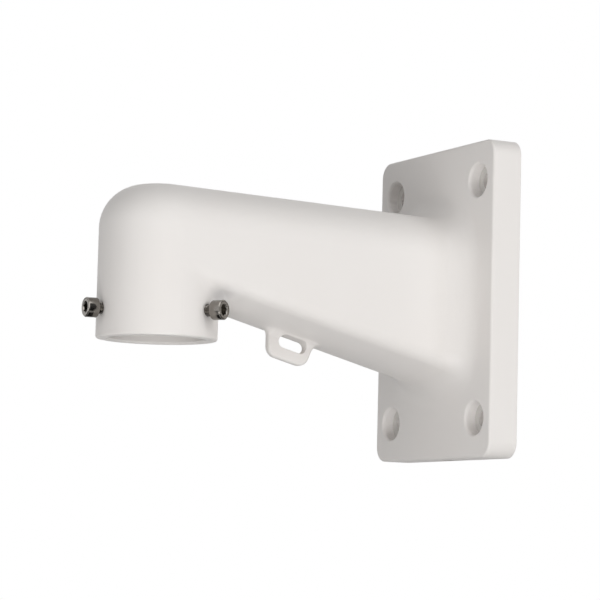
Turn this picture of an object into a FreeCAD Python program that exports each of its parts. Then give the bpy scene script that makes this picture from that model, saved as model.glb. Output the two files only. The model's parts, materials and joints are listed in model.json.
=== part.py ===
"""Wall bracket for a dome camera: one hollow die-cast body and three clamp screws.

Frame, in millimetres: the origin is the middle of the plate's back face, which lies on
the wall plane Y = 0. The arm reaches out along -Y, +Z is up and +X is to the right.
"""
import math
import os

import FreeCAD
import Part
import Sketcher

DOC = FreeCAD.newDocument("camera_wall_bracket")
SIZES = DOC.addObject("Spreadsheet::Sheet", "sizes")
TOUCH = 0.01  # how near a point has to lie to count as on a face
NEAR_BOW = 0.2  # the same for the bowed underside, measured from its middle line
CIRCLE = 360
HALF_TURN = 180
RIGHT_ANGLE = 90

# Driving sizes in millimetres, or degrees where the meaning says so
DRIVING = [
    ("plate_width", 117.0, "wall plate, across"),
    ("plate_height", 165.6, "wall plate, up"),
    ("plate_depth", 16.6, "wall plate, from the wall to its front"),
    ("plate_corner", 8.2, "radius of the plate's corners"),
    ("plate_edge", 1.4, "rounding of the plate's front edge"),
    ("plate_rim", 4.2, "wall of the rim round the hollow back"),
    ("plate_skin", 4.6, "wall of the plate's front"),
    ("bolt_inset_across", 15.65, "wall bolts, from the plate's sides"),
    ("bolt_inset_up", 20.5, "wall bolts, from the plate's top and bottom"),
    ("bolt_hole", 9.0, "clearance hole for a wall bolt"),
    ("bolt_recess", 17.2, "recess for the bolt's head and washer"),
    ("bolt_recess_depth", 6.4, "depth of that recess"),
    ("recess_round", 1.8, "soft rim of that recess"),
    ("recess_lip", 0.1, "how far that rim's round runs on past the plate's front"),
    ("boss_wall", 5.6, "metal round a recess at the back"),
    ("cable_width", 12.0, "cable slot through the lower rim, across"),
    ("cable_depth", 7.0, "cable slot, wall to front"),
    ("cable_front", 8.4, "cable slot's front side, from the wall"),
    ("cable_round", 3.4, "ends of the cable slot"),
    ("arm_reach", 178.4, "from the wall to the collar's axis"),
    ("arm_wall", 4.6, "wall of the hollow arm"),
    ("root_spread", 4.4, "how much wider the arm is at the plate than the collar"),
    ("root_top", 44.6, "height of the arm's top at the plate"),
    ("root_bottom", 44.4, "depth of the arm's underside at the plate"),
    ("underside_bow", 80.0, "radius of the underside, which is bowed across"),
    ("root_top_round", 24.0, "upper long edges at the plate"),
    ("root_bottom_round", 9.3, "lower long edges at the plate"),
    ("root_blend", 14.0, "cast fillet between arm and plate"),
    ("tip_bottom", 2.5, "depth of the underside, drawn on to the collar's axis"),
    ("tip_bottom_round", 7.8, "lower long edges at the collar"),
    ("collar_diameter", 61.6, "outside of the collar"),
    ("collar_bore", 49.2, "socket for the camera's spigot"),
    ("socket_depth", 22.0, "socket, from the collar's rim up to its stop"),
    ("socket_stop", 1.0, "step that the spigot stops against"),
    ("socket_lead", 0.8, "chamfer at the socket's mouth"),
    ("collar_bottom", 29.0, "depth of the collar's lower rim"),
    ("collar_top", 49.2, "height of the domed top"),
    ("collar_round", 22.2, "rounding of the domed top"),
    ("collar_edge", 1.2, "rounding of the lower rim"),
    ("collar_relief", 0.03, "how much smaller the collar's rear half is, on the radius"),
    ("collar_blend", 6.0, "cast fillet between collar and underside"),
    ("blend_reach", 76.0, "how far that fillet runs to each side, degrees"),
    ("blend_count", 13, "sections that the fillet is lofted through"),
    ("blend_bite", 0.04, "how far the fillet's edges cut into collar and arm"),
    ("blend_root", 0.8, "how deep the fillet is rooted in them"),
    ("crown_round", 15.0, "rounding inside the domed top"),
    ("core_step", 0.6, "how far the arm's core stays inside the dome's"),
    ("eye_thickness", 4.6, "safety-rope eye, across"),
    ("eye_front", 116.1, "eye's front edge, from the wall"),
    ("eye_rear", 88.9, "eye's rear edge at the arm, from the wall"),
    ("eye_drop", 14.3, "how far the eye hangs under the arm"),
    ("eye_round", 6.0, "corners of the eye"),
    ("eye_root", 2.0, "how deep the eye is rooted in the arm's wall"),
    ("eye_edge", 1.5, "soft edges of the eye"),
    ("eye_blend", 5.5, "cast fillet between eye and arm"),
    ("eye_rear_lean", 21.6, "lean of the eye's rear edge, degrees"),
    ("slot_length", 16.1, "rope slot, along the arm"),
    ("slot_height", 7.1, "rope slot, up"),
    ("slot_front", 110.2, "rope slot's front end, from the wall"),
    ("slot_cover", 0.9, "metal between the slot and the arm"),
    ("slot_round", 3.3, "ends of the rope slot"),
    ("screw_rise", 14.0, "clamp screws, above the collar's rim"),
    ("screw_count", 3, "clamp screws round the collar"),
    ("screw_thread", 6.0, "thread size of a clamp screw"),
    ("screw_length", 8.0, "a clamp screw under its head"),
    ("screw_head", 10.0, "head diameter"),
    ("screw_head_height", 6.0, "head height"),
    ("screw_socket", 5.0, "hexagon socket, across flats"),
    ("screw_socket_depth", 3.0, "hexagon socket, deep"),
    ("screw_stand", 2.6, "gap between the collar and a screw's head"),
    ("screw_edge", 0.5, "chamfer of the head"),
    ("thread_clearance", 0.05, "between a thread and its hole, on the radius"),
    ("cut_over", 4.0, "how far a cut runs on past the metal it opens"),
]


# Which point of a sketch element a constraint takes, and the sketch's own axes and origin
START, END, CENTRE = range(1, 4)
LEVEL_AXIS, UPRIGHT_AXIS = range(-1, -3, -1)
ORIGIN = (LEVEL_AXIS, START)

# Places that several features share
BOLT_ACROSS = "(sizes.plate_width / 2 - sizes.bolt_inset_across)"
BOLT_UP = "(sizes.plate_height / 2 - sizes.bolt_inset_up)"
DOME_CORE = "(sizes.collar_bore / 2 - sizes.socket_stop)"
SCREW_LEVEL = "(sizes.screw_rise - sizes.collar_bottom)"


def fill_sheet():
    for row, (alias, value, meaning) in enumerate(DRIVING, start=1):
        SIZES.set(f"A{row}", meaning)
        SIZES.set(f"B{row}", str(value))
        SIZES.setAlias(f"B{row}", alias)
    DOC.recompute()


def value(expression):
    """The number that an expression on the sheet gives."""
    result = SIZES.evalExpression(expression)
    return float(getattr(result, "Value", result))


def bind(thing, path, expression):
    thing.setExpression(path, expression)


def new_body(name):
    body = DOC.addObject("PartDesign::Body", name)
    body.Label = name
    return body


def plane(body, role):
    return next(item for item in body.Origin.OriginFeatures if item.Role == role)


def new_sketch(body, name, role, offset="0"):
    """A sketch on one of the body's own planes, moved along the plane's normal."""
    sketch = body.newObject("Sketcher::SketchObject", name)
    sketch.AttachmentSupport = (plane(body, role), [""])
    sketch.MapMode = "FlatFace"
    bind(sketch, "AttachmentOffset.Base.z", offset)
    return sketch


def rule(sketch, kind, *parts):
    sketch.addConstraint(Sketcher.Constraint(kind, *parts))


def size(sketch, name, expression, kind, *parts):
    """Adds a named dimension and binds it to the sheet."""
    index = sketch.addConstraint(Sketcher.Constraint(kind, *parts, value(expression)))
    sketch.renameConstraint(index, name)
    bind(sketch, f"Constraints.{name}", expression)


def point(x, y):
    return FreeCAD.Vector(x, y, 0)


def line(sketch, start, end):
    return sketch.addGeometry(Part.LineSegment(point(*start), point(*end)), False)


def arc(sketch, centre, radius, start_degrees, end_degrees):
    circle = Part.Circle(point(*centre), FreeCAD.Vector(0, 0, 1), radius)
    turn = Part.ArcOfCircle(circle, math.radians(start_degrees), math.radians(end_degrees))
    return sketch.addGeometry(turn, False)


def circle_at(sketch, name, y, diameter):
    """A full circle on the upright axis, with its height and diameter bound to expressions."""
    shape = Part.Circle(point(0, value(y)), FreeCAD.Vector(0, 0, 1), value(diameter) / 2)
    index = sketch.addGeometry(shape, False)
    rule(sketch, "PointOnObject", index, CENTRE, UPRIGHT_AXIS)
    size(sketch, f"{name}_up", y, "DistanceY", *ORIGIN, index, CENTRE)
    size(sketch, f"{name}_diameter", diameter, "Diameter", index)


def rounded_section(sketch, half_width, top, bottom, top_round, bottom_round, bow=None):
    """A box section about the vertical axis with tangent corner arcs, its bottom flat or bowed."""
    w, t, b = value(half_width), value(top), -value(bottom)
    r, s = value(top_round), value(bottom_round)
    upper = line(sketch, (-w + r, t), (w - r, t))
    if bow:
        bow_radius = value(bow)
        lean = math.asin((w - s) / (bow_radius - s))
        heel = b + bow_radius - (bow_radius - s) * math.cos(lean)
        slack = math.degrees(lean)
        lower = arc(sketch, (0, b + bow_radius), bow_radius, -RIGHT_ANGLE - slack, -RIGHT_ANGLE + slack)
        lower_right, lower_left = END, START
    else:
        heel, slack = b + s, 0
        lower = line(sketch, (w - s, b), (-w + s, b))
        lower_right, lower_left = START, END
    right = line(sketch, (w, t - r), (w, heel))
    left = line(sketch, (-w, heel), (-w, t - r))
    top_right = arc(sketch, (w - r, t - r), r, 0, RIGHT_ANGLE)
    bottom_right = arc(sketch, (w - s, heel), s, -RIGHT_ANGLE + slack, 0)
    bottom_left = arc(sketch, (-w + s, heel), s, HALF_TURN, HALF_TURN + RIGHT_ANGLE - slack)
    top_left = arc(sketch, (-w + r, t - r), r, RIGHT_ANGLE, HALF_TURN)
    for edge, end, corner, corner_end in (
            (upper, END, top_right, END), (right, START, top_right, START),
            (right, END, bottom_right, END), (lower, lower_right, bottom_right, START),
            (lower, lower_left, bottom_left, END), (left, START, bottom_left, START),
            (left, END, top_left, END), (upper, START, top_left, START)):
        rule(sketch, "Tangent", edge, end, corner, corner_end)
    rule(sketch, "Horizontal", upper)
    for edge in (right, left):
        rule(sketch, "Vertical", edge)
    if bow:
        rule(sketch, "PointOnObject", lower, CENTRE, UPRIGHT_AXIS)
        size(sketch, "bow_centre", f"{bow} - ({bottom})", "DistanceY", *ORIGIN, lower, CENTRE)
        size(sketch, "bow", bow, "Radius", lower)
    else:
        rule(sketch, "Horizontal", lower)
        size(sketch, "bottom_edge", bottom, "DistanceY", lower, START, *ORIGIN)
    size(sketch, "right_side", half_width, "DistanceX", *ORIGIN, right, START)
    size(sketch, "left_side", half_width, "DistanceX", left, START, *ORIGIN)
    size(sketch, "top_edge", top, "DistanceY", *ORIGIN, upper, START)
    size(sketch, "top_right", top_round, "Radius", top_right)
    size(sketch, "top_left", top_round, "Radius", top_left)
    size(sketch, "bottom_right", bottom_round, "Radius", bottom_right)
    size(sketch, "bottom_left", bottom_round, "Radius", bottom_left)


def rounded_outline(sketch, name, corners):
    """A closed outline through corner points, each given as x, y and a rounding (None is sharp)."""
    spots = [point(value(x), value(y)) for x, y, rounding in corners]
    count = len(corners)
    frame = []
    for i in range(count):
        following = spots[(i + 1) % count]
        frame.append(line(sketch, (spots[i].x, spots[i].y), (following.x, following.y)))
        sketch.toggleConstruction(frame[i])
    for i, (x, y, rounding) in enumerate(corners):
        rule(sketch, "Coincident", frame[i - 1], END, frame[i], START)
        size(sketch, f"{name}_{i}_x", x, "DistanceX", *ORIGIN, frame[i], START)
        size(sketch, f"{name}_{i}_y", y, "DistanceY", *ORIGIN, frame[i], START)
    ends = []
    for i, (x, y, rounding) in enumerate(corners):
        before = (spots[i - 1] - spots[i]).normalize()
        after = (spots[(i + 1) % count] - spots[i]).normalize()
        setback = value(rounding) / math.tan(before.getAngle(after) / 2) if rounding else 0.0
        ends.append((spots[i] + before * setback, spots[i] + after * setback))
    sides = []
    for i in range(count):
        leave, arrive = ends[i][1], ends[(i + 1) % count][0]
        sides.append(line(sketch, (leave.x, leave.y), (arrive.x, arrive.y)))
        rule(sketch, "PointOnObject", sides[i], START, frame[i])
        rule(sketch, "PointOnObject", sides[i], END, frame[i])
    for i, (x, y, rounding) in enumerate(corners):
        if not rounding:
            rule(sketch, "Coincident", sides[i - 1], END, sides[i], START)
            continue
        arrive, leave = ends[i]
        inward = ((arrive - spots[i]) + (leave - spots[i])).normalize()
        half = (arrive - spots[i]).getAngle(leave - spots[i]) / 2
        centre = spots[i] + inward * (value(rounding) / math.sin(half))
        first = math.degrees(math.atan2(arrive.y - centre.y, arrive.x - centre.x))
        last = math.degrees(math.atan2(leave.y - centre.y, leave.x - centre.x))
        forward = (last - first) % CIRCLE < HALF_TURN
        start, stop = (first, last) if forward else (last, first)
        turn = arc(sketch, (centre.x, centre.y), value(rounding), start, start + (stop - start) % CIRCLE)
        rule(sketch, "Tangent", sides[i - 1], END, turn, START if forward else END)
        rule(sketch, "Tangent", sides[i], START, turn, END if forward else START)
        size(sketch, f"{name}_{i}_round", rounding, "Radius", turn)


def edges_where(feature, test):
    """Names of the edges whose every sampled point passes a test."""
    names = []
    for index, edge in enumerate(feature.Shape.Edges, start=1):
        if all(test(spot) for spot in edge.discretize(7)):
            names.append(f"Edge{index}")
    return names


def fillet(body, base, name, edges, radius):
    feature = body.newObject("PartDesign::Fillet", name)
    feature.Base = (base, edges)
    bind(feature, "Radius", radius)
    DOC.recompute()
    return feature


# The plate, a rounded slab standing on the wall plane
def make_plate(body):
    sketch = new_sketch(body, "plate_outline", "XZ_Plane")
    rounded_section(sketch, "sizes.plate_width / 2", "sizes.plate_height / 2", "sizes.plate_height / 2",
                    "sizes.plate_corner", "sizes.plate_corner")
    pad = body.newObject("PartDesign::Pad", "plate")
    pad.Profile = sketch
    bind(pad, "Length", "sizes.plate_depth")
    DOC.recompute()


# The collar, a turned form with a domed top, its axis vertical
def domed_profile(sketch, radius, top, bottom, rounding, foot=None):
    """Half of a domed cylinder's section, closed along the axis, its foot rounded or square."""
    r, t, b, c = value(radius), value(top), -value(bottom), value(rounding)
    f = value(foot) if foot else 0.0
    axis = line(sketch, (0, t), (0, b))
    floor = line(sketch, (0, b), (r - f, b))
    side = line(sketch, (r, b + f), (r, t - c))
    turn = arc(sketch, (r - c, t - c), c, 0, RIGHT_ANGLE)
    crown = line(sketch, (r - c, t), (0, t))
    rule(sketch, "Coincident", axis, END, floor, START)
    rule(sketch, "Coincident", crown, END, axis, START)
    if foot:
        heel = arc(sketch, (r - f, b + f), f, -RIGHT_ANGLE, 0)
        rule(sketch, "Tangent", floor, END, heel, START)
        rule(sketch, "Tangent", side, START, heel, END)
        size(sketch, "foot", foot, "Radius", heel)
    else:
        rule(sketch, "Coincident", floor, END, side, START)
    rule(sketch, "Tangent", side, END, turn, START)
    rule(sketch, "Tangent", crown, START, turn, END)
    rule(sketch, "Vertical", side)
    rule(sketch, "Horizontal", crown)
    rule(sketch, "Horizontal", floor)
    rule(sketch, "PointOnObject", axis, START, UPRIGHT_AXIS)
    rule(sketch, "PointOnObject", axis, END, UPRIGHT_AXIS)
    size(sketch, "radius", radius, "DistanceX", *ORIGIN, side, START)
    size(sketch, "top", top, "DistanceY", *ORIGIN, crown, START)
    size(sketch, "bottom", bottom, "DistanceY", floor, START, *ORIGIN)
    size(sketch, "rounding", rounding, "Radius", turn)


def turned_half(body, name, sketch, backward):
    """Turns a profile half way round the collar's axis, to the front or to the wall side."""
    half = body.newObject("PartDesign::Revolution", name)
    half.Profile = sketch
    half.ReferenceAxis = (sketch, ["V_Axis"])
    half.Angle = HALF_TURN
    half.Reversed = backward
    DOC.recompute()


def make_collar(body):
    """The round front with its dome, and the rear half, a hair smaller to clear the arm's sides."""
    domed = new_sketch(body, "dome_outline", "XZ_Plane", "sizes.arm_reach")
    domed_profile(domed, "sizes.collar_diameter / 2", "sizes.collar_top", "sizes.collar_bottom",
                  "sizes.collar_round", "sizes.collar_edge")
    turned_half(body, "dome", domed, True)
    rear = new_sketch(body, "collar_rear_outline", "XZ_Plane", "sizes.arm_reach")
    domed_profile(rear, "sizes.collar_diameter / 2 - sizes.collar_relief",
                  "sizes.collar_top - sizes.collar_round", "sizes.collar_bottom",
                  "sizes.collar_edge", "sizes.collar_edge")
    turned_half(body, "collar_rear", rear, False)


# The arm, lofted from the plate's front to the collar's axis
ROOT_WIDTH = "(sizes.collar_diameter + sizes.root_spread)"
ARM_LENGTH = "(sizes.arm_reach - sizes.plate_depth)"
FALL = f"((sizes.root_bottom - sizes.tip_bottom) / {ARM_LENGTH})"
RISE = f"((sizes.collar_top - sizes.root_top) / {ARM_LENGTH})"


def make_arm(body):
    root = new_sketch(body, "arm_root", "XZ_Plane", "sizes.plate_depth")
    rounded_section(root, f"{ROOT_WIDTH} / 2", "sizes.root_top", "sizes.root_bottom",
                    "sizes.root_top_round", "sizes.root_bottom_round", "sizes.underside_bow")
    tip = new_sketch(body, "arm_tip", "XZ_Plane", "sizes.arm_reach")
    rounded_section(tip, "sizes.collar_diameter / 2", "sizes.collar_top", "sizes.tip_bottom",
                    "sizes.collar_round", "sizes.tip_bottom_round", "sizes.underside_bow")
    loft = body.newObject("PartDesign::AdditiveLoft", "arm")
    loft.Profile = root
    loft.Sections = [tip]
    loft.Ruled = True
    DOC.recompute()


# Cast fillet where the arm leaves the plate, and the plate's rounded front edge
def round_plate(body):
    front = -value("sizes.plate_depth")
    half_width = value(f"{ROOT_WIDTH} / 2")
    half_height = value("max(sizes.root_top; sizes.root_bottom)")
    across = value("sizes.plate_width / 2 - sizes.plate_corner")
    up = value("sizes.plate_height / 2 - sizes.plate_corner")

    def on_root(spot):
        inside = abs(spot.x) < half_width + TOUCH and abs(spot.z) < half_height + TOUCH
        return abs(spot.y - front) < TOUCH and inside

    def on_plate_edge(spot):
        return abs(spot.y - front) < TOUCH and (abs(spot.x) > across or abs(spot.z) > up)

    arm = body.Tip
    blend = fillet(body, arm, "root_fillet", edges_where(arm, on_root), "sizes.root_blend")
    fillet(body, blend, "plate_fillet", edges_where(blend, on_plate_edge), "sizes.plate_edge")


# Cast fillet between the collar's wall and the arm's underside, lofted round the collar
def arm_floor(across, behind):
    """Height of the arm's lower surface, or None beside the arm; measured from the collar's axis."""
    share = behind / value(ARM_LENGTH)
    half_width = value("sizes.collar_diameter / 2") + share * value("sizes.root_spread / 2")
    bottom = value("sizes.tip_bottom") + share * value("sizes.root_bottom - sizes.tip_bottom")
    rounding = value("sizes.tip_bottom_round")
    rounding += share * value("sizes.root_bottom_round - sizes.tip_bottom_round")
    bow = value("sizes.underside_bow")
    out = abs(across)
    corner = half_width - rounding
    if out >= half_width:
        return None
    if out * (bow - rounding) < corner * bow:
        return bow - bottom - math.sqrt(bow * bow - out * out)
    heel = bow - bottom - math.sqrt((bow - rounding) ** 2 - corner * corner)
    return heel - math.sqrt(rounding * rounding - (out - corner) ** 2)


def resting_ball(wall, radius, turn):
    """Where a ball that rolls up the wall touches the arm: its height, and that point out and up."""
    samples = 400
    angle = math.radians(turn)
    rest = None
    for sample in range(samples):
        out = 2 * radius * sample / samples
        floor = arm_floor((wall + out) * math.sin(angle), (wall + out) * math.cos(angle))
        if floor is None:
            break
        height = floor - math.sqrt(radius * radius - (out - radius) ** 2)
        if rest is None or height < rest[0]:
            rest = (height, out, floor)
    return rest


def blend_section(body, index, turn):
    """The fillet's section in an upright plane through the collar's axis, turned from the wall side."""
    wall = value("sizes.collar_diameter / 2")
    radius = value("sizes.collar_blend")
    bite = value("sizes.blend_bite")
    root = value("sizes.blend_root")
    height, out, floor = resting_ball(wall, radius, turn)
    lift = math.atan2(floor - height, out - radius)
    centre = (wall + radius - bite, height + bite)
    start = (centre[0] - radius, centre[1])
    end = (centre[0] + radius * math.cos(lift), centre[1] + radius * math.sin(lift))
    sketch = new_sketch(body, f"blend_{index}", "XZ_Plane", "sizes.arm_reach")
    sketch.AttachmentOffset.Rotation = FreeCAD.Rotation(FreeCAD.Vector(0, 1, 0), RIGHT_ANGLE - turn)
    arc(sketch, centre, radius, math.degrees(lift), HALF_TURN)
    corners = [start, (wall - root, start[1]), (wall - root, end[1] + root), (end[0], end[1] + root), end]
    for first, second in zip(corners, corners[1:]):
        line(sketch, first, second)
    return sketch


def blend_collar(body):
    reach = value("sizes.blend_reach")
    count = round(value("sizes.blend_count"))
    turns = [reach * (2 * index / (count - 1) - 1) for index in range(count)]
    sections = [blend_section(body, index, turn) for index, turn in enumerate(turns)]
    DOC.recompute()
    loft = body.newObject("PartDesign::AdditiveLoft", "collar_blend")
    loft.Profile = sections[0]
    loft.Sections = sections[1:]
    DOC.recompute()


# The hollow: the plate's open back, the arm's core and the collar's socket
def hollow_plate(body):
    """An open back whose four corners stay solid round the bolts."""
    sketch = new_sketch(body, "back_outline", "XZ_Plane")
    boss = "sizes.bolt_recess / 2 + sizes.boss_wall"
    inner_across = "sizes.plate_width / 2 - sizes.plate_rim"
    inner_up = "sizes.plate_height / 2 - sizes.plate_rim"
    bx, bz, r = value(BOLT_ACROSS), value(BOLT_UP), value(boss)
    w, h = value(inner_across), value(inner_up)
    reach = w - bx
    drop = math.sqrt(r * r - reach * reach)
    lean = math.degrees(math.asin(drop / r))
    top_right = arc(sketch, (bx, bz), r, HALF_TURN, CIRCLE - lean)
    bottom_right = arc(sketch, (bx, -bz), r, lean, HALF_TURN)
    bottom_left = arc(sketch, (-bx, -bz), r, 0, HALF_TURN - lean)
    top_left = arc(sketch, (-bx, bz), r, HALF_TURN + lean, CIRCLE)
    stems = [
        line(sketch, (bx - r, h), (bx - r, bz)),
        line(sketch, (bx - r, -h), (bx - r, -bz)),
        line(sketch, (-bx + r, -h), (-bx + r, -bz)),
        line(sketch, (-bx + r, h), (-bx + r, bz)),
    ]
    right = line(sketch, (w, bz - drop), (w, -bz + drop))
    floor = line(sketch, (bx - r, -h), (-bx + r, -h))
    left = line(sketch, (-w, -bz + drop), (-w, bz - drop))
    roof = line(sketch, (-bx + r, h), (bx - r, h))
    for stem, turn, turn_end in ((stems[0], top_right, START), (stems[1], bottom_right, END),
                                 (stems[2], bottom_left, START), (stems[3], top_left, END)):
        rule(sketch, "Tangent", stem, END, turn, turn_end)
    for one, one_end, other, other_end in (
            (top_right, END, right, START), (right, END, bottom_right, START),
            (stems[1], START, floor, START), (floor, END, stems[2], START),
            (bottom_left, END, left, START), (left, END, top_left, START),
            (stems[3], START, roof, START), (roof, END, stems[0], START)):
        rule(sketch, "Coincident", one, one_end, other, other_end)
    for edge in stems + [right, left]:
        rule(sketch, "Vertical", edge)
    for edge in (floor, roof):
        rule(sketch, "Horizontal", edge)
    for name, turn, side, level in (("top_right", top_right, 1, 1), ("bottom_right", bottom_right, 1, -1),
                                    ("bottom_left", bottom_left, -1, -1), ("top_left", top_left, -1, 1)):
        size(sketch, f"{name}_across", f"{side} * {BOLT_ACROSS}", "DistanceX", *ORIGIN, turn, CENTRE)
        size(sketch, f"{name}_up", f"{level} * {BOLT_UP}", "DistanceY", *ORIGIN, turn, CENTRE)
        size(sketch, f"{name}_boss", boss, "Radius", turn)
    size(sketch, "right_wall", inner_across, "DistanceX", *ORIGIN, right, START)
    size(sketch, "left_wall", inner_across, "DistanceX", left, START, *ORIGIN)
    size(sketch, "upper_wall", inner_up, "DistanceY", *ORIGIN, roof, START)
    size(sketch, "lower_wall", inner_up, "DistanceY", floor, START, *ORIGIN)
    pocket = body.newObject("PartDesign::Pocket", "open_back")
    pocket.Profile = sketch
    pocket.Reversed = True
    bind(pocket, "Length", "sizes.plate_depth - sizes.plate_skin")
    DOC.recompute()


def hollow_arm(body):
    """The arm's core, wider towards the wall, so that it draws out through the open back."""
    mouth = new_sketch(body, "core_mouth", "XZ_Plane")
    rounded_section(mouth, f"{ROOT_WIDTH} / 2 - sizes.arm_wall",
                    f"sizes.root_top - sizes.arm_wall - sizes.plate_depth * {RISE}",
                    f"sizes.root_bottom - sizes.arm_wall + sizes.plate_depth * {FALL}",
                    "sizes.root_top_round - sizes.arm_wall", "sizes.root_bottom_round - sizes.arm_wall",
                    "sizes.underside_bow - sizes.arm_wall")
    nose = new_sketch(body, "core_nose", "XZ_Plane", "sizes.arm_reach")
    rounded_section(nose, f"{DOME_CORE} - sizes.core_step",
                    "sizes.collar_top - sizes.arm_wall - sizes.core_step",
                    "sizes.tip_bottom - sizes.arm_wall",
                    "sizes.crown_round", "sizes.tip_bottom_round - sizes.arm_wall",
                    "sizes.underside_bow - sizes.arm_wall")
    core = body.newObject("PartDesign::SubtractiveLoft", "arm_core")
    core.Profile = mouth
    core.Sections = [nose]
    core.Ruled = True
    DOC.recompute()


def hollow_collar(body):
    """The dome's core, and under it the wider socket with a stop and a chamfered mouth."""
    outline = new_sketch(body, "dome_core_outline", "XZ_Plane", "sizes.arm_reach")
    domed_profile(outline, DOME_CORE, "sizes.collar_top - sizes.arm_wall",
                  "sizes.collar_bottom", "sizes.crown_round")
    core = body.newObject("PartDesign::Groove", "dome_core")
    core.Profile = outline
    core.ReferenceAxis = (outline, ["V_Axis"])
    core.Angle = CIRCLE
    DOC.recompute()
    mouth = new_sketch(body, "socket_outline", "XY_Plane", "-sizes.collar_bottom")
    circle_at(mouth, "socket", "-sizes.arm_reach", "sizes.collar_bore")
    socket = body.newObject("PartDesign::Pocket", "camera_socket")
    socket.Profile = mouth
    socket.Reversed = True
    bind(socket, "Length", "sizes.socket_depth")
    DOC.recompute()

    def on_mouth(spot):
        out = math.hypot(spot.x, spot.y + value("sizes.arm_reach"))
        level = abs(spot.z + value("sizes.collar_bottom")) < TOUCH
        return level and out < value("sizes.collar_bore") / 2 + TOUCH

    lead = body.newObject("PartDesign::Chamfer", "socket_lead_in")
    lead.Base = (socket, edges_where(socket, on_mouth))
    bind(lead, "Size", "sizes.socket_lead")
    DOC.recompute()


def bore_bolt_holes(body):
    """Holes for the wall bolts, each turned out with its recess and the recess's soft rim."""
    hole = "sizes.bolt_hole / 2"
    recess = "sizes.bolt_recess / 2"
    clear = f"({recess} + sizes.recess_round + sizes.recess_lip)"
    floor = "(sizes.bolt_recess_depth - sizes.plate_depth)"
    rim = "(-sizes.plate_depth - sizes.recess_lip)"
    ahead = "(-sizes.plate_depth - sizes.cut_over)"
    for name, side, level in (("top_right", 1, 1), ("top_left", -1, 1), ("bottom_left", -1, -1),
                              ("bottom_right", 1, -1)):
        sketch = new_sketch(body, f"{name}_bolt", "XY_Plane", f"{level} * {BOLT_UP}")
        bind(sketch, "AttachmentOffset.Base.x", f"{side} * {BOLT_ACROSS}")
        rounded_outline(sketch, "bolt", [
            ("0", "sizes.cut_over", None),
            (hole, "sizes.cut_over", None),
            (hole, floor, None),
            (recess, floor, None),
            (recess, rim, "sizes.recess_round"),
            (clear, rim, None),
            (clear, ahead, None),
            ("0", ahead, None),
        ])
        groove = body.newObject("PartDesign::Groove", f"{name}_hole")
        groove.Profile = sketch
        groove.ReferenceAxis = (sketch, ["V_Axis"])
        groove.Angle = CIRCLE
        DOC.recompute()


def cut_cable_slot(body):
    """An oblong hole up through the lower rim, just off the wall."""
    front = "-sizes.cable_front"
    rear = "(sizes.cable_depth - sizes.cable_front)"
    left = "-sizes.cable_width / 2"
    right = "sizes.cable_width / 2"
    sketch = new_sketch(body, "cable_slot_outline", "XY_Plane", "-sizes.plate_height / 2")
    rounded_outline(sketch, "slot", [
        (left, front, "sizes.cable_round"),
        (right, front, "sizes.cable_round"),
        (right, rear, "sizes.cable_round"),
        (left, rear, "sizes.cable_round"),
    ])
    pocket = body.newObject("PartDesign::Pocket", "cable_slot")
    pocket.Profile = sketch
    pocket.Reversed = True
    bind(pocket, "Length", "sizes.plate_rim + sizes.cut_over")
    DOC.recompute()


# The safety-rope eye under the arm, cast with it
def underside(y):
    """Height of the arm's underside at a distance along Y."""
    return f"(-sizes.tip_bottom - (({y}) + sizes.arm_reach) * {FALL})"


def make_eye(body):
    front = "-sizes.eye_front"
    rear = "-sizes.eye_rear"
    lean = "tan(sizes.eye_rear_lean * 1 deg)"
    fall_back = f"(sizes.eye_drop / (1 + {FALL} * {lean}))"
    heel = f"(-sizes.eye_rear - {fall_back} * {lean})"
    sunk = f"(-sizes.eye_rear + sizes.eye_root * {lean})"
    sketch = new_sketch(body, "eye_outline", "YZ_Plane")
    rounded_outline(sketch, "eye", [
        (front, f"{underside(front)} + sizes.eye_root", None),
        (front, f"{underside(front)} - sizes.eye_drop", "sizes.eye_round"),
        (heel, f"{underside(heel)} - sizes.eye_drop", "sizes.eye_round"),
        (sunk, f"{underside(rear)} + sizes.eye_root", None),
    ])
    pad = body.newObject("PartDesign::Pad", "eye")
    pad.Profile = sketch
    pad.SideType = "Symmetric"
    bind(pad, "Length", "sizes.eye_thickness")
    DOC.recompute()

    half_thickness = value("sizes.eye_thickness / 2")
    front_side, rear_side = value(front), value(rear)

    def hang(spot):
        return value(underside(str(spot.y))) - spot.z

    def on_eye(spot):
        along = front_side - TOUCH < spot.y < rear_side + value("sizes.eye_root")
        return along and abs(spot.x) < half_thickness + TOUCH and hang(spot) > -NEAR_BOW

    def on_root(spot):
        return on_eye(spot) and hang(spot) < NEAR_BOW

    def on_side(spot):
        return on_eye(spot) and abs(spot.x) > half_thickness - TOUCH

    roots = edges_where(pad, on_root)
    rims = [name for name in edges_where(pad, on_side) if name not in roots]
    soft = fillet(body, pad, "eye_edges", rims, "sizes.eye_edge")
    fillet(body, soft, "eye_fillet", edges_where(soft, on_root), "sizes.eye_blend")
    slot = new_sketch(body, "slot_outline", "YZ_Plane")
    first = "-sizes.slot_front"
    last = "(-sizes.slot_front + sizes.slot_length)"
    rounded_outline(slot, "slot", [
        (first, f"{underside(first)} - sizes.slot_cover", "sizes.slot_round"),
        (first, f"{underside(first)} - sizes.slot_cover - sizes.slot_height", "sizes.slot_round"),
        (last, f"{underside(last)} - sizes.slot_cover - sizes.slot_height", "sizes.slot_round"),
        (last, f"{underside(last)} - sizes.slot_cover", "sizes.slot_round"),
    ])
    pocket = body.newObject("PartDesign::Pocket", "rope_slot")
    pocket.Profile = slot
    pocket.SideType = "Symmetric"
    bind(pocket, "Length", "sizes.eye_thickness + 2 * sizes.eye_blend + sizes.cut_over")
    DOC.recompute()


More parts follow.
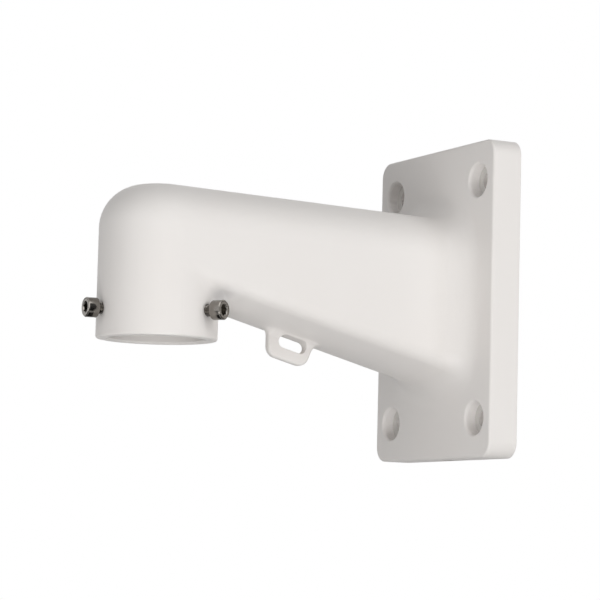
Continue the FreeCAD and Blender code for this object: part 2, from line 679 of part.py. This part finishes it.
def tap_screw_holes(body):
    """Threaded holes for the clamp screws, evenly round the collar, one of them at its front."""
    sketch = new_sketch(body, "screw_centre", "XZ_Plane",
                        "sizes.arm_reach + sizes.collar_diameter / 2 + sizes.cut_over")
    circle_at(sketch, "screw", SCREW_LEVEL, "sizes.screw_thread + 2 * sizes.thread_clearance")
    pocket = body.newObject("PartDesign::Pocket", "screw_hole")
    pocket.Profile = sketch
    bind(pocket, "Length", "sizes.cut_over + sizes.collar_diameter / 2 - sizes.collar_bore / 4")
    DOC.recompute()
    ring = body.newObject("PartDesign::PolarPattern", "screw_holes")
    ring.Originals = [pocket]
    ring.Axis = (DOC.getObject("dome_core_outline"), ["V_Axis"])
    ring.Angle = CIRCLE
    bind(ring, "Occurrences", "sizes.screw_count")
    body.Tip = ring
    DOC.recompute()


# A clamp screw: socket head, drawn along +Z with its bearing face on Z = 0
def make_screw(name):
    body = new_body(name)
    sketch = new_sketch(body, f"{name}_outline", "XZ_Plane")
    thread = "sizes.screw_thread / 2"
    head = "sizes.screw_head / 2"
    top = "sizes.screw_head_height"
    tip = "-sizes.screw_length"
    edge = "sizes.screw_edge"
    rounded_outline(sketch, "screw", [
        ("0", tip, None),
        (f"{thread} - {edge}", tip, None),
        (thread, f"{tip} + {edge}", None),
        (thread, "0", None),
        (head, "0", None),
        (head, f"{top} - {edge}", None),
        (f"{head} - {edge}", top, None),
        ("0", top, None),
    ])
    turned = body.newObject("PartDesign::Revolution", f"{name}_turned")
    turned.Profile = sketch
    turned.ReferenceAxis = (sketch, ["V_Axis"])
    turned.Angle = CIRCLE
    DOC.recompute()
    socket = new_sketch(body, f"{name}_hexagon", "XY_Plane", top)
    radius = "sizes.screw_socket / sqrt(3)"
    sides = 6
    corners = [(f"{radius} * cos({CIRCLE * corner / sides} * 1 deg)",
                f"{radius} * sin({CIRCLE * corner / sides} * 1 deg)", None) for corner in range(sides)]
    rounded_outline(socket, "hexagon", corners)
    pocket = body.newObject("PartDesign::Pocket", f"{name}_socket")
    pocket.Profile = socket
    bind(pocket, "Length", "sizes.screw_socket_depth")
    DOC.recompute()
    return body


def place_screw(body, turn):
    """Seats a screw radially in the collar, its head standing off the wall."""
    bearing = "(sizes.collar_diameter / 2 + sizes.screw_stand)"
    angle = math.radians(turn)
    outward = FreeCAD.Vector(math.cos(angle), math.sin(angle), 0)
    body.Placement.Rotation = FreeCAD.Rotation(FreeCAD.Vector(0, 0, 1), outward)
    bind(body, "Placement.Base.x", f"{bearing} * {outward.x}")
    bind(body, "Placement.Base.y", f"{bearing} * {outward.y} - sizes.arm_reach")
    bind(body, "Placement.Base.z", SCREW_LEVEL)
    DOC.recompute()


def export(piece):
    """Writes one piece, after making sure that it is one sound solid and no feature failed."""
    failed = [item.Name for item in DOC.Objects if "Invalid" in item.State or "Error" in item.State]
    if failed or not piece.Shape.isValid() or len(piece.Shape.Solids) != 1:
        raise RuntimeError(f"{piece.Label} isn't one sound solid, failed features: {failed}")
    piece.Shape.exportStep(os.path.join("parts", f"{piece.Label}.step"))


fill_sheet()
casting = new_body("bracket_casting")
make_plate(casting)
make_arm(casting)
round_plate(casting)
blend_collar(casting)
make_collar(casting)
hollow_plate(casting)
hollow_arm(casting)
hollow_collar(casting)
bore_bolt_holes(casting)
cut_cable_slot(casting)
make_eye(casting)
tap_screw_holes(casting)
pieces = [casting]
screw_count = round(value("sizes.screw_count"))
for index in range(screw_count):
    screw = make_screw(f"clamp_screw_{index + 1}")
    place_screw(screw, CIRCLE * index / screw_count - RIGHT_ANGLE)
    pieces.append(screw)
os.makedirs("parts", exist_ok=True)
for piece in pieces:
    export(piece)
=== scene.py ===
import json
import math

import bmesh
import bpy
from mathutils import Matrix, Vector

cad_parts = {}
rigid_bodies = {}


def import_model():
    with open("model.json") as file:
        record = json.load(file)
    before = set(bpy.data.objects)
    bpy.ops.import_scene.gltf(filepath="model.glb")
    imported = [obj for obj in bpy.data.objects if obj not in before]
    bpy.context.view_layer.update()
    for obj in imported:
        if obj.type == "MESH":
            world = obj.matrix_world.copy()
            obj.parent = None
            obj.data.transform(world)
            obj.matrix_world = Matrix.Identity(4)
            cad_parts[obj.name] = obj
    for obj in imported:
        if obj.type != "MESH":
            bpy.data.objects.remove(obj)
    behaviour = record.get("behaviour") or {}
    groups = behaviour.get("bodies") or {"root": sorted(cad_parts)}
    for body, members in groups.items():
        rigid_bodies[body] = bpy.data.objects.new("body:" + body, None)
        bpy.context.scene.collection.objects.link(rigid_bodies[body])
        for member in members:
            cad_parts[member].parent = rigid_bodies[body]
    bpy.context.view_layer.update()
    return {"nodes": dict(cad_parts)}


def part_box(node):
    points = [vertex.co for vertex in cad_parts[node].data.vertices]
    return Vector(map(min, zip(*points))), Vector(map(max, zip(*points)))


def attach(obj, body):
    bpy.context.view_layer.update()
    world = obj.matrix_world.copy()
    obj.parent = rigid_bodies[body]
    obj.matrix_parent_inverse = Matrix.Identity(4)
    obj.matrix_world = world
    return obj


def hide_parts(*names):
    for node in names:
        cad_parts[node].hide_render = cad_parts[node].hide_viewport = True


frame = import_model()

MM = 0.001

MERGE_DISTANCE = 0.002 * MM
FADE = 0.1 * MM


# Helpers for materials and meshes
def linear(code):
    """Linear colour of a hex sRGB code."""
    parts = [int(code[i:i + 2], 16) / 255 for i in (1, 3, 5)]
    return [c / 12.92 if c <= 0.04045 else ((c + 0.055) / 1.055) ** 2.4 for c in parts] + [1.0]


def add(tree, kind, links=None, inputs=None, **settings):
    """Adds a node with its settings and input values, and links inputs from (node, output) pairs."""
    node = tree.nodes.new(kind)
    for name, setting in settings.items():
        setattr(node, name, setting)
    for name, constant in (inputs or {}).items():
        node.inputs[name].default_value = constant
    for name, (source, output) in (links or {}).items():
        tree.links.new(source.outputs[output], node.inputs[name])
    return node


def within(border):
    """The range that turns what is below a border to 1 and what is above it to 0, with a short fade."""
    return {"From Min": border - FADE, "From Max": border + FADE, "To Min": 1.0, "To Max": 0.0}


def empty_material(name):
    material = bpy.data.materials.new(name)
    material.use_nodes = True
    material.node_tree.nodes.clear()
    return material, material.node_tree


def select_only(obj):
    bpy.ops.object.select_all(action="DESELECT")
    obj.select_set(True)
    bpy.context.view_layer.objects.active = obj


def apply_modifiers(obj):
    select_only(obj)
    for modifier in list(obj.modifiers):
        bpy.ops.object.modifier_apply(modifier=modifier.name)


def merge_vertices():
    """Merges the active object's vertices where they lie together."""
    bpy.ops.object.mode_set(mode="EDIT")
    bpy.ops.mesh.select_all(action="SELECT")
    bpy.ops.mesh.remove_doubles(threshold=MERGE_DISTANCE)
    bpy.ops.object.mode_set(mode="OBJECT")


def cylinder(name, sides, radius, low, high):
    """A cylinder primitive about Z between two heights, its object at the origin."""
    bpy.ops.object.select_all(action="DESELECT")
    bpy.ops.mesh.primitive_cylinder_add(vertices=sides, radius=radius, depth=high - low,
                                        location=(0, 0, (low + high) / 2))
    obj = bpy.context.object
    obj.name = name
    bpy.ops.object.transform_apply(location=True)
    return obj


def select_faces(obj, test):
    """Selects the faces whose normal and centre pass a test, in edit mode."""
    bpy.ops.mesh.select_mode(type="FACE")
    mesh = bmesh.from_edit_mesh(obj.data)
    for face in mesh.faces:
        face.select_set(test(face.normal, face.calc_center_median()))
    bmesh.update_edit_mesh(obj.data)


def boolean(obj, other, operation):
    """Cuts another object from the first or joins it to it, and uses it up."""
    cut = obj.modifiers.new("cut", "BOOLEAN")
    cut.object = other
    cut.operation = operation
    cut.solver = "EXACT"
    apply_modifiers(obj)
    bpy.data.objects.remove(other)


# Widths of the finishes' patterns
DRIFT_WIDTH = 71.43 * MM
PEEL_WIDTH = 1.111 * MM
GRAIN_WIDTH = 0.2381 * MM
STAIN_WIDTH = 2.632 * MM
MARK_WIDTH = 0.1923 * MM

# Places where the casting's colour carries painted light and shade, and where its edge round widens, with
# each coordinate's sign dropped, but for the corner's Z
BOLT_PLACE = (42.85 * MM, 0, 62.3 * MM)
RECESS_RADIUS = 8.6 * MM
SEAT_FRONT = 10.2 * MM
SEAT_BAND = 0.15 * MM
NECK_PLACE = (28.5 * MM, 167 * MM, 0)
CORNER_PLACE = (25 * MM, 153 * MM, -10 * MM)
# The cable slot through the lower rim, by its middle and its half sizes
SLOT_MIDDLE = (0, -4.9 * MM, -80.3 * MM)
SLOT_HALF = (6.1 * MM, 3.6 * MM, 2.25 * MM)

THICK_COAT = "#E8E3DF"
THIN_COAT = "#EBE8E5"
# Painted light: a whiter coat that lifts the shade on the recesses' walls and in the corners under the neck
PAINTED_LIGHT_WHITE = "#F8F5F3"
# Painted shade: a greyer coat on the bolt seats at the bottom of the recesses
PAINTED_SEAT_SHADE = "#CECBC7"
# Painted shade: a dark grey inside the cable slot
PAINTED_SLOT_SHADE = "#5E5B59"
STEEL_GREY = "#7F7B76"
STAINED_STEEL = "#8B8782"


def recess_masks(tree, mirrored):
    """Two masks: the walls of the bolt recesses, and the bolt seats at their bottom."""
    flat = add(tree, "ShaderNodeVectorMath", {0: (mirrored, "Vector")}, {1: (1, 0, 1)}, operation="MULTIPLY")
    from_bolt = add(tree, "ShaderNodeVectorMath", {0: (flat, "Vector")}, {1: BOLT_PLACE},
                    operation="DISTANCE")
    in_recess = add(tree, "ShaderNodeMapRange", {"Value": (from_bolt, "Value")}, within(RECESS_RADIUS))
    axes = add(tree, "ShaderNodeSeparateXYZ", {"Vector": (mirrored, "Vector")})
    level = add(tree, "ShaderNodeMath", {0: (axes, "Y")}, {1: SEAT_FRONT}, operation="SUBTRACT")
    before_seat = add(tree, "ShaderNodeMapRange", {"Value": (level, "Value")},
                      {"From Min": -0.3 * MM, "From Max": -0.2 * MM})
    wall = add(tree, "ShaderNodeMath", {0: (before_seat, "Result"), 1: (in_recess, "Result")},
               operation="MULTIPLY")
    off_seat = add(tree, "ShaderNodeMath", {0: (level, "Value")}, operation="ABSOLUTE")
    on_seat = add(tree, "ShaderNodeMapRange", {"Value": (off_seat, "Value")}, within(SEAT_BAND))
    seat = add(tree, "ShaderNodeMath", {0: (on_seat, "Result"), 1: (in_recess, "Result")},
               operation="MULTIPLY")
    return wall, seat


def corner_mask(tree, place, mirrored):
    """A mask of the two corners under the neck, which dies away round them."""
    axes = add(tree, "ShaderNodeSeparateXYZ", {"Vector": (place, "Object")})
    sides = add(tree, "ShaderNodeSeparateXYZ", {"Vector": (mirrored, "Vector")})
    folded = add(tree, "ShaderNodeCombineXYZ", {"X": (sides, "X"), "Y": (sides, "Y"), "Z": (axes, "Z")})
    from_corner = add(tree, "ShaderNodeVectorMath", {0: (folded, "Vector")}, {1: CORNER_PLACE},
                      operation="DISTANCE")
    return add(tree, "ShaderNodeMapRange", {"Value": (from_corner, "Value")},
               {"From Min": 3 * MM, "From Max": 11 * MM, "To Min": 1.0, "To Max": 0.0},
               interpolation_type="SMOOTHSTEP")


def slot_mask(tree, place):
    """A mask of the box that holds the cable slot."""
    from_slot = add(tree, "ShaderNodeVectorMath", {0: (place, "Object")}, {1: SLOT_MIDDLE},
                    operation="SUBTRACT")
    across = add(tree, "ShaderNodeVectorMath", {0: (from_slot, "Vector")}, operation="ABSOLUTE")
    outside = add(tree, "ShaderNodeVectorMath", {0: (across, "Vector")}, {1: SLOT_HALF}, operation="SUBTRACT")
    axes = add(tree, "ShaderNodeSeparateXYZ", {"Vector": (outside, "Vector")})
    wide = add(tree, "ShaderNodeMath", {0: (axes, "X"), 1: (axes, "Y")}, operation="MAXIMUM")
    far = add(tree, "ShaderNodeMath", {0: (wide, "Value"), 1: (axes, "Z")}, operation="MAXIMUM")
    return add(tree, "ShaderNodeMapRange", {"Value": (far, "Value")}, within(0))


def powder_coat():
    """Warm white polyester powder coat on die-cast aluminium: a satin skin with a faint orange peel."""
    material, tree = empty_material("powder_coat_on_die_cast_aluminium")
    place = add(tree, "ShaderNodeTexCoord")
    mirrored = add(tree, "ShaderNodeVectorMath", {0: (place, "Object")}, operation="ABSOLUTE")
    # Slow drift of the coat's thickness, which gives the eye a slightly uneven white
    drift = add(tree, "ShaderNodeTexNoise", {"Vector": (place, "Object")},
                {"Scale": 1 / DRIFT_WIDTH, "Detail": 2.0})
    coat = add(tree, "ShaderNodeMixRGB", {"Fac": (drift, "Fac")},
               {"Color1": linear(THICK_COAT), "Color2": linear(THIN_COAT)})
    # Painted light: a whiter coat lifts the shade on the recesses' walls and under the neck; painted shade:
    # greyer bolt seats and a dark grey cable slot
    wall, seat = recess_masks(tree, mirrored)
    corner = corner_mask(tree, place, mirrored)
    painted_light_mask = add(tree, "ShaderNodeMath", {0: (wall, "Value"), 1: (corner, "Result")}, operation="MAXIMUM")
    painted_light_tone = add(tree, "ShaderNodeMixRGB", {"Fac": (painted_light_mask, "Value"), "Color1": (coat, "Color")},
               {"Color2": linear(PAINTED_LIGHT_WHITE)})
    painted_seat_shade_tone = add(tree, "ShaderNodeMixRGB", {"Fac": (seat, "Value"), "Color1": (painted_light_tone, "Color")},
               {"Color2": linear(PAINTED_SEAT_SHADE)})
    slot = slot_mask(tree, place)
    tone = add(tree, "ShaderNodeMixRGB", {"Fac": (slot, "Result"), "Color1": (painted_seat_shade_tone, "Color")},
               {"Color2": linear(PAINTED_SLOT_SHADE)})
    # Orange peel, its width from crest to crest, and the powder's finer grain on it, which soften the gloss
    peel = add(tree, "ShaderNodeTexNoise", {"Vector": (place, "Object")},
               {"Scale": 1 / PEEL_WIDTH, "Detail": 3.0, "Roughness": 0.55})
    grain = add(tree, "ShaderNodeTexNoise", {"Vector": (place, "Object")},
                {"Scale": 1 / GRAIN_WIDTH, "Detail": 1.0})
    height = add(tree, "ShaderNodeMath", {0: (grain, "Fac"), 2: (peel, "Fac")}, {1: 0.25},
                 operation="MULTIPLY_ADD")
    # Edges that the coat has flowed round, which catch a soft line of light, and a fuller flow in the neck
    from_neck = add(tree, "ShaderNodeVectorMath", {0: (mirrored, "Vector")}, {1: NECK_PLACE},
                    operation="DISTANCE")
    flow = add(tree, "ShaderNodeMapRange", {"Value": (from_neck, "Value")},
               {"From Min": 9 * MM, "From Max": 18 * MM, "To Min": 4 * MM, "To Max": 0.5 * MM})
    edge = add(tree, "ShaderNodeBevel", {"Radius": (flow, "Result")}, samples=8)
    bump = add(tree, "ShaderNodeBump", {"Height": (height, "Value"), "Normal": (edge, "Normal")},
               {"Strength": 0.3, "Distance": 0.05 * MM})
    sheen = add(tree, "ShaderNodeMapRange", {"Value": (peel, "Fac")}, {"To Min": 0.42, "To Max": 0.54})
    shader = add(tree, "ShaderNodeBsdfPrincipled",
                 {"Base Color": (tone, "Color"), "Roughness": (sheen, "Result"), "Normal": (bump, "Normal")})
    add(tree, "ShaderNodeOutputMaterial", {"Surface": (shader, "BSDF")})
    return material


def turned_steel():
    """Stainless cap screws, cold-headed and turned: smooth grey metal with a faint stain and tool marks."""
    material, tree = empty_material("turned_stainless_steel")
    place = add(tree, "ShaderNodeTexCoord")
    stain = add(tree, "ShaderNodeTexNoise", {"Vector": (place, "Object")},
                {"Scale": 1 / STAIN_WIDTH, "Detail": 4.0})
    tone = add(tree, "ShaderNodeMixRGB", {"Fac": (stain, "Fac")},
               {"Color1": linear(STEEL_GREY), "Color2": linear(STAINED_STEEL)})
    finish = add(tree, "ShaderNodeMapRange", {"Value": (stain, "Fac")}, {"To Min": 0.12, "To Max": 0.20})
    # Tool marks, drawn coarser than real ones so that they still break up the mirror a little
    marks = add(tree, "ShaderNodeTexNoise", {"Vector": (place, "Object")},
                {"Scale": 1 / MARK_WIDTH, "Detail": 2.0})
    bump = add(tree, "ShaderNodeBump", {"Height": (marks, "Fac")}, {"Strength": 0.15, "Distance": 0.015 * MM})
    shader = add(tree, "ShaderNodeBsdfPrincipled",
                 {"Base Color": (tone, "Color"), "Roughness": (finish, "Result"), "Normal": (bump, "Normal")},
                 {"Metallic": 1.0})
    add(tree, "ShaderNodeOutputMaterial", {"Surface": (shader, "BSDF")})
    return material


def studio_paper(name, code, glow=0.0):
    """Matt background paper, one even colour, not seen from below; a glow makes it paler to the camera."""
    material, tree = empty_material(name)
    shader = add(tree, "ShaderNodeBsdfPrincipled", inputs={"Base Color": linear(code), "Roughness": 0.9})
    if glow:
        path = add(tree, "ShaderNodeLightPath")
        lift = add(tree, "ShaderNodeMath", {0: (path, "Is Camera Ray")}, {1: glow}, operation="MULTIPLY")
        shader.inputs["Emission Color"].default_value = linear(code)
        tree.links.new(lift.outputs["Value"], shader.inputs["Emission Strength"])
    side = add(tree, "ShaderNodeNewGeometry")
    clear = add(tree, "ShaderNodeBsdfTransparent")
    surface = add(tree, "ShaderNodeMixShader",
                  {0: (side, "Backfacing"), 1: (shader, "BSDF"), 2: (clear, "BSDF")})
    add(tree, "ShaderNodeOutputMaterial", {"Surface": (surface, "Shader")})
    return material


# The casting. Its faces are smooth up to this angle between them
CASTING_SMOOTH = math.radians(24)
# Faces this near to the wall's plane are the plate's wall face
WALL_BAND = 0.01 * MM


def drop_inner_shells(casting):
    """Keeps all that is joined to the wall face, so that no closed void in the metal is left in the mesh."""
    bpy.ops.object.mode_set(mode="EDIT")
    select_faces(casting, lambda normal, centre: centre.y > -WALL_BAND)
    bpy.ops.mesh.select_linked()
    bpy.ops.mesh.select_all(action="INVERT")
    bpy.ops.mesh.delete(type="FACE")
    bpy.ops.object.mode_set(mode="OBJECT")


def add_casting(node, material):
    """A merged copy of the CAD mesh with clean shading."""
    piece = node.copy()
    piece.data = node.data.copy()
    piece.name = "powder_coated_casting"
    bpy.context.collection.objects.link(piece)
    select_only(piece)
    if piece.data.has_custom_normals:
        bpy.ops.mesh.customdata_custom_splitnormals_clear()
    merge_vertices()
    drop_inner_shells(piece)
    bpy.ops.object.shade_smooth_by_angle(angle=CASTING_SMOOTH)
    weighted = piece.modifiers.new("even_shading", "WEIGHTED_NORMAL")
    weighted.mode = "FACE_AREA"
    weighted.weight = 100
    weighted.keep_sharp = True
    apply_modifiers(piece)
    piece.data.materials.clear()
    piece.data.materials.append(material)
    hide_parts(node.name)
    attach(piece, "root")


# A clamp screw: socket head, hexagon socket and rolled thread, its bearing face on Z = 0
ROUND_SIDES = 96
HEAD_RADIUS = 5.0 * MM
HEAD_HEIGHT = 6.0 * MM
HEAD_CHAMFER = 0.4 * MM
BEARING_ROUND = 0.25 * MM
GROOVE_WIDTH = 0.35 * MM
GROOVE_DEPTH = 0.2 * MM
FACE_RING = 0.3 * MM
SOCKET_WIDTH = 5.0 * MM
SOCKET_DEPTH = 3.0 * MM
SOCKET_CORNER = SOCKET_WIDTH / math.sqrt(3)
DRILL_STEP = 0.3 * MM
DRILL_DEPTH = 0.9 * MM
LEAD_WIDTH = 0.15 * MM
LEAD_DEPTH = 1.2 * MM
THREAD_RADIUS = 3.0 * MM
THREAD_LENGTH = 8.0 * MM
THREAD_DEPTH = 0.55 * MM
THREAD_STEPS = 48
PITCH = 1.0 * MM
SCREW_SMOOTH = math.radians(28)


def model_head():
    """The head, its face set off by a chamfer and a turned groove, with a rounded bearing edge."""
    head = cylinder("clamp_screw", ROUND_SIDES, HEAD_RADIUS, 0, HEAD_HEIGHT)
    bpy.ops.object.mode_set(mode="EDIT")
    select_faces(head, lambda normal, centre: normal.z > 0.9)
    bpy.ops.mesh.bevel(offset=HEAD_CHAMFER, segments=1)
    select_faces(head, lambda normal, centre: normal.z > 0.99)
    bpy.ops.mesh.inset(thickness=GROOVE_WIDTH, depth=-GROOVE_DEPTH)
    bpy.ops.mesh.inset(thickness=GROOVE_WIDTH / 4, depth=GROOVE_DEPTH)
    bpy.ops.mesh.inset(thickness=FACE_RING)
    select_faces(head, lambda normal, centre: normal.z < -0.99)
    bpy.ops.mesh.bevel(offset=BEARING_ROUND, segments=2)
    bpy.ops.object.mode_set(mode="OBJECT")
    return head


def model_socket():
    """A hexagonal prism with the drill's cone at its bottom, to cut the socket."""
    cutter = cylinder("socket", 6, SOCKET_CORNER, HEAD_HEIGHT - SOCKET_DEPTH, HEAD_HEIGHT + SOCKET_DEPTH)
    bpy.ops.object.mode_set(mode="EDIT")
    select_faces(cutter, lambda normal, centre: normal.z < -0.9)
    bpy.ops.mesh.inset(thickness=DRILL_STEP)
    bpy.ops.mesh.extrude_region_move(TRANSFORM_OT_translate={"value": (0, 0, -DRILL_DEPTH)})
    bpy.ops.mesh.merge(type="CENTER")
    bpy.ops.object.mode_set(mode="OBJECT")
    return cutter


def model_lead_in():
    """A cone that chamfers the socket's mouth."""
    bpy.ops.object.select_all(action="DESELECT")
    radius = SOCKET_CORNER + LEAD_WIDTH
    bpy.ops.mesh.primitive_cone_add(vertices=ROUND_SIDES, radius1=radius - LEAD_DEPTH,
                                    radius2=radius + LEAD_DEPTH, depth=2 * LEAD_DEPTH,
                                    location=(0, 0, HEAD_HEIGHT))
    bpy.ops.object.transform_apply(location=True)
    return bpy.context.object


def model_thread():
    """A helical V thread, closed at both ends, its upper turn sunk in the head."""
    root = THREAD_RADIUS - THREAD_DEPTH
    crest = PITCH / 8
    profile = [(root, 0), (THREAD_RADIUS, (PITCH - crest) / 2), (THREAD_RADIUS, (PITCH + crest) / 2),
               (root, PITCH)]
    data = bpy.data.meshes.new("thread")
    data.from_pydata([(x, 0, z - THREAD_LENGTH) for x, z in profile], [(0, 1), (1, 2), (2, 3)], [])
    obj = bpy.data.objects.new("thread", data)
    bpy.context.collection.objects.link(obj)
    helix = obj.modifiers.new("helix", "SCREW")
    helix.screw_offset = PITCH
    helix.iterations = round(THREAD_LENGTH / PITCH)
    helix.steps = helix.render_steps = THREAD_STEPS
    apply_modifiers(obj)
    merge_vertices()
    bpy.ops.object.mode_set(mode="EDIT")
    bpy.ops.mesh.fill_holes(sides=0)
    bpy.ops.mesh.select_all(action="SELECT")
    bpy.ops.mesh.normals_make_consistent(inside=False)
    bpy.ops.object.mode_set(mode="OBJECT")
    return obj


def model_clamp_screw():
    screw = model_head()
    boolean(screw, model_lead_in(), "DIFFERENCE")
    boolean(screw, model_socket(), "DIFFERENCE")
    boolean(screw, model_thread(), "UNION")
    merge_vertices()
    bpy.ops.object.shade_smooth_by_angle(angle=SCREW_SMOOTH)
    return screw


COLLAR_AXIS_Y = -178.4 * MM
SOCKET_TURNS = [math.radians(turn) for turn in (12, 47, 25)]
SET_IN = 0.001 * MM


def add_screw(pattern, node, index, material):
    """A copy of the screw with its own mesh, at the place of the CAD's screw and a hair inside its box."""
    low, high = (Vector(corner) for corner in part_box(node.name))
    middle = (low + high) / 2
    axis = Vector((0, COLLAR_AXIS_Y, middle.z))
    outward = (middle - axis).normalized()
    half_length = (THREAD_LENGTH + HEAD_HEIGHT) / 2
    bearing = middle - outward * (half_length - THREAD_LENGTH + SET_IN)
    turn = outward.to_track_quat("Z", "Y").to_matrix().to_4x4()
    data = pattern.data.copy()
    data.transform(Matrix.Translation(bearing) @ turn @ Matrix.Rotation(SOCKET_TURNS[index], 4, "Z"))
    piece = bpy.data.objects.new(f"socket_head_screw_{index + 1}", data)
    bpy.context.collection.objects.link(piece)
    data.materials.clear()
    data.materials.append(material)
    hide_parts(node.name)
    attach(piece, "root")


nodes = frame["nodes"]
add_casting(nodes["bracket_casting"], powder_coat())
steel = turned_steel()
pattern = model_clamp_screw()
for index in range(3):
    add_screw(pattern, nodes[f"clamp_screw_{index + 1}"], index, steel)
bpy.data.objects.remove(pattern)


# Floor and light: each panel and lamp has its centre, its target, and its size or its watts
HEART = (0, -0.09, 0)
LAMP_SIZE = 1.0
LAMPS = (("key", (1.313, 0.522, 0.388), HEART, 6.2),
         ("top", (1.057, 0.002, 1.061), HEART, 4.2),
         ("front", (0.496, -1.452, 0.388), HEART, 3.5),
         ("low", (0.549, -0.407, -0.55), (0, -0.09, 0.81), 7.4))
WORLD_LIGHT = 0.23
FLOOR_GLOW = 0.6
FLOOR = ("studio_floor", (0, -0.1, -0.62), (5.0, 5.0), (0, -0.1, 0))
BLACK_CARDS = (("side_card", (0.62, 0.11, -0.06), (0.4, 1.12), (0, -0.215, -0.06)),
               ("floor_card", (-0.22, -0.2, -0.61), (0.9, 0.9), (-0.22, -0.2, 0)))


def add_panel(name, centre, size, target, material):
    """A flat studio panel, across and up, that faces a target and isn't part of the object."""
    bpy.ops.object.select_all(action="DESELECT")
    bpy.ops.mesh.primitive_plane_add(size=1.0)
    panel = bpy.context.object
    panel.data.transform(Matrix.Diagonal((*size, 1.0, 1.0)))
    panel.location = centre
    panel.name = name
    panel.rotation_euler = (Vector(target) - Vector(centre)).to_track_quat("Z", "Y").to_euler()
    panel.data.materials.append(material)
    return panel


def add_lamp(name, centre, target, power):
    """A soft box, a square area lamp that faces a target."""
    lamp = bpy.data.lights.new(name, "AREA")
    lamp.shape = "RECTANGLE"
    lamp.size = lamp.size_y = LAMP_SIZE
    lamp.energy = power
    obj = bpy.data.objects.new(name, lamp)
    bpy.context.collection.objects.link(obj)
    obj.location = centre
    obj.rotation_euler = (Vector(target) - Vector(centre)).to_track_quat("-Z", "Y").to_euler()


def light_world():
    """White for camera, mirror and glass rays, and a lower even light for the surfaces."""
    world = bpy.data.worlds.new("studio")
    bpy.context.scene.world = world
    world.use_nodes = True
    tree = world.node_tree
    tree.nodes.clear()
    path = add(tree, "ShaderNodeLightPath")
    seen = add(tree, "ShaderNodeMath", {0: (path, "Is Camera Ray"), 1: (path, "Is Glossy Ray")},
               operation="MAXIMUM")
    clear = add(tree, "ShaderNodeMath", {0: (seen, "Value"), 1: (path, "Is Transmission Ray")},
                operation="MAXIMUM")
    strength = add(tree, "ShaderNodeMapRange", {"Value": (clear, "Value")}, {"To Min": WORLD_LIGHT})
    back = add(tree, "ShaderNodeBackground", {"Strength": (strength, "Result")},
               {"Color": (1.0, 1.0, 1.0, 1.0)})
    add(tree, "ShaderNodeOutputWorld", {"Surface": (back, "Background")})


add_panel(*FLOOR, studio_paper("studio_floor_paper", "#E4E4E4", FLOOR_GLOW))
# Black cards that only mirrors see, which give the steel its dark side and its dark underside
black = studio_paper("black_card_paper", "#0C0B0B")
for place in BLACK_CARDS:
    card = add_panel(*place, black)
    card.visible_camera = card.visible_diffuse = card.visible_shadow = False
for place in LAMPS:
    add_lamp(*place)
light_world()

# The camera, solved from the photo
FOCAL_LENGTH = 151.68
SENSOR_WIDTH = 36.0
CAMERA_PLACE = (1.1572, -0.7070, -0.1371)
CAMERA_RIGHT = (0.46833, 0.88322, 0.02518)
CAMERA_BACK = (0.8801, -0.4638, -0.1019)

camera_data = bpy.data.cameras.new("photo_camera")
camera_data.lens = FOCAL_LENGTH
camera_data.sensor_width = SENSOR_WIDTH
camera = bpy.data.objects.new("photo_camera", camera_data)
bpy.context.collection.objects.link(camera)
back = Vector(CAMERA_BACK).normalized()
up = back.cross(Vector(CAMERA_RIGHT).normalized()).normalized()
right = up.cross(back)
turn = Matrix((right, up, back)).transposed().to_4x4()
camera.matrix_world = Matrix.Translation(CAMERA_PLACE) @ turn
bpy.context.scene.camera = camera
bpy.context.scene.view_settings.view_transform = "Standard"
